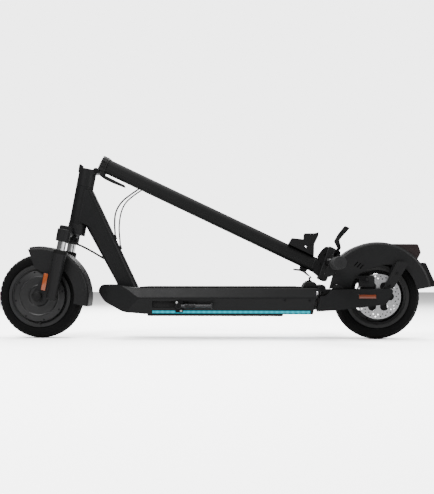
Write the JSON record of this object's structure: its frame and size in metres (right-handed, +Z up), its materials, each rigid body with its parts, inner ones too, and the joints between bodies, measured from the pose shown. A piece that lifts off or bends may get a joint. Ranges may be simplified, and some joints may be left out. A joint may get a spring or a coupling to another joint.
{
  "type": "electric kick scooter",
  "caption": "Folding electric kick scooter, shown folded: lit deck, sprung fork and swing arm, front hub motor, rear disc brake, stem hooked down to the deck.",
  "frame": {"origin": "on the floor, under the middle of the folded scooter's bounding box", "axes": "+X towards the rear wheel, +Z up, so the rider's left side faces -Y"},
  "size_m": [1.2826, 0.55, 0.5416],
  "materials": {
    "frame_black": "satin powder coat, charcoal black",
    "stem_black": "matte powder coat, near black",
    "plastic_black": "matte, fine grain",
    "plastic_dark": "satin",
    "rubber_black": "matte",
    "tyre_black": "matte tread rubber",
    "steel_bright": "brushed",
    "steel_black": "black oxide, satin",
    "chrome": "polished",
    "led_cyan": "gloss, translucent cyan",
    "lens_clear": "gloss, clear",
    "lens_red": "gloss, red",
    "stator_steel": "bare laminated steel",
    "cell_wrap": "matte shrink wrap",
    "cable_black": "matte"
  },
  "bodies": {
    "frame": {"deck_shell": "frame_black", "head_tube": "frame_black", "down_tube": "frame_black", "headset_bearings": "steel_bright", "deck_mat": "rubber_black", "battery_cover": "plastic_dark", "battery_pack": "cell_wrap", "controller": "frame_black", "led_strips": "led_cyan", "port_panel": "plastic_black", "kickstand_bracket": "steel_black", "rear_deck_cap": "plastic_black", "catch_loop": "steel_black", "pivot_bracket": "frame_black", "pivot_bolt": "steel_black", "stem_cables": "cable_black", "motor_cable": "cable_black"},
    "port_flap": {"port_cap": "rubber_black"},
    "kickstand": {"kickstand_leg": "steel_bright"},
    "steering": {"fork_crown": "frame_black", "stanchion_tubes": "chrome", "fold_collar": "frame_black", "fold_pin": "steel_black", "latch_striker": "steel_black"},
    "front_suspension": {"fork_lowers": "frame_black", "dust_seals": "rubber_black", "front_axle": "steel_black", "motor_stator": "stator_steel", "front_fender": "plastic_dark"},
    "front_wheel": {"hub_shell": "frame_black", "hub_covers": "frame_black", "front_tyre": "tyre_black"},
    "stem": {"stem_tube": "stem_black", "stem_flange": "frame_black", "stem_head": "stem_black", "cockpit_housing": "plastic_black", "handlebar": "stem_black", "grips": "rubber_black", "brake_perch": "stem_black", "switch_pod": "plastic_black", "throttle_housing": "plastic_black", "headlight_housing": "plastic_black", "headlight_lens": "lens_clear", "hook_block": "steel_black"},
    "latch": {"latch_lever": "frame_black"},
    "left_brake": {"brake_lever": "stem_black"},
    "throttle": {"throttle_paddle": "plastic_black"},
    "power_key": {"power_button": "rubber_black"},
    "horn_key": {"horn_button": "rubber_black"},
    "hook": {"fold_hook": "steel_black"},
    "rear_arm": {"swing_arm": "frame_black", "rear_fender": "plastic_dark", "tail_light": "lens_red", "rear_plate": "plastic_black", "rear_axle": "steel_black", "caliper_body": "frame_black"},
    "brake_arm": {"caliper_arm": "steel_black"},
    "rear_wheel": {"rear_rim": "frame_black", "rear_tyre": "tyre_black", "brake_disc": "steel_bright"}
  },
  "joints": [
    {"name": "steer", "type": "hinge", "parent": "frame", "child": "steering", "pos_m": [-0.40833, 0, 0.34083], "axis": [0.1908, 0, 0.9816], "range_deg": [-4, 4], "deforming": ["motor_cable"]},
    {"name": "fork_slide", "type": "slide", "parent": "steering", "child": "front_suspension", "axis": [0.1908, 0, 0.9816], "range_m": [0, 0.02], "stiffness_N_per_m": 8000, "springref_m": -0.02},
    {"name": "front_spin", "type": "hinge", "parent": "front_suspension", "child": "front_wheel", "pos_m": [-0.5165, 0, 0.125], "axis": [0, 1, 0], "continuous": true},
    {"name": "stem_fold", "type": "hinge", "parent": "steering", "child": "stem", "pos_m": [-0.35073, 0, 0.49568], "axis": [0, -1, 0], "range_deg": [0, 104.56], "deforming": ["stem_cables"]},
    {"name": "latch_turn", "type": "hinge", "parent": "stem", "child": "latch", "pos_m": [-0.33351, 0, 0.48301], "axis": [0, 1, 0], "range_deg": [0, 60]},
    {"name": "hook_turn", "type": "hinge", "parent": "stem", "child": "hook", "pos_m": [0.25992, 0, 0.20141], "axis": [0, -1, 0], "range_deg": [0, 25], "stiffness_Nm_per_rad": 0.1, "springref_deg": -17.19},
    {"name": "brake_squeeze", "type": "hinge", "parent": "stem", "child": "left_brake", "pos_m": [0.3453, -0.141, 0.24781], "axis": [0.9021, 0, -0.4315], "range_deg": [0, 18], "stiffness_Nm_per_rad": 0.6, "springref_deg": -11.46},
    {"name": "throttle_turn", "type": "hinge", "parent": "stem", "child": "throttle", "pos_m": [0.34447, 0.1345, 0.21828], "axis": [0, 1, 0], "range_deg": [0, 25], "stiffness_Nm_per_rad": 0.2, "springref_deg": -11.46},
    {"name": "power_press", "type": "slide", "parent": "stem", "child": "power_key", "axis": [-0.9021, 0, 0.4315], "range_m": [0, 0.0015], "stiffness_N_per_m": 1200, "springref_m": -0.0005},
    {"name": "horn_press", "type": "slide", "parent": "stem", "child": "horn_key", "axis": [-0.9021, 0, 0.4315], "range_m": [0, 0.0015], "stiffness_N_per_m": 1200, "springref_m": -0.0005},
    {"name": "port_flap_turn", "type": "hinge", "parent": "frame", "child": "port_flap", "pos_m": [-0.1185, -0.0794, 0.1103], "axis": [-1, 0, 0], "range_deg": [0, 80]},
    {"name": "kickstand_turn", "type": "hinge", "parent": "frame", "child": "kickstand", "pos_m": [-0.0975, -0.097, 0.098], "axis": [0, 1, 0], "range_deg": [0, 95]},
    {"name": "rear_swing", "type": "hinge", "parent": "frame", "child": "rear_arm", "pos_m": [0.312, 0, 0.1485], "axis": [0, -1, 0], "range_deg": [0, 6], "stiffness_Nm_per_rad": 400, "springref_deg": -5.16},
    {"name": "rear_spin", "type": "hinge", "parent": "rear_arm", "child": "rear_wheel", "pos_m": [0.4735, 0, 0.125], "axis": [0, 1, 0], "continuous": true},
    {"name": "caliper_pull", "type": "hinge", "parent": "rear_arm", "child": "brake_arm", "pos_m": [0.43964, -0.0665, 0.17434], "axis": [0, 1, 0], "range_deg": [0, 22]}
  ],
  "couplings": [
    {"joint": "caliper_pull", "follows": "brake_squeeze", "ratio": 1.2}
  ]
}
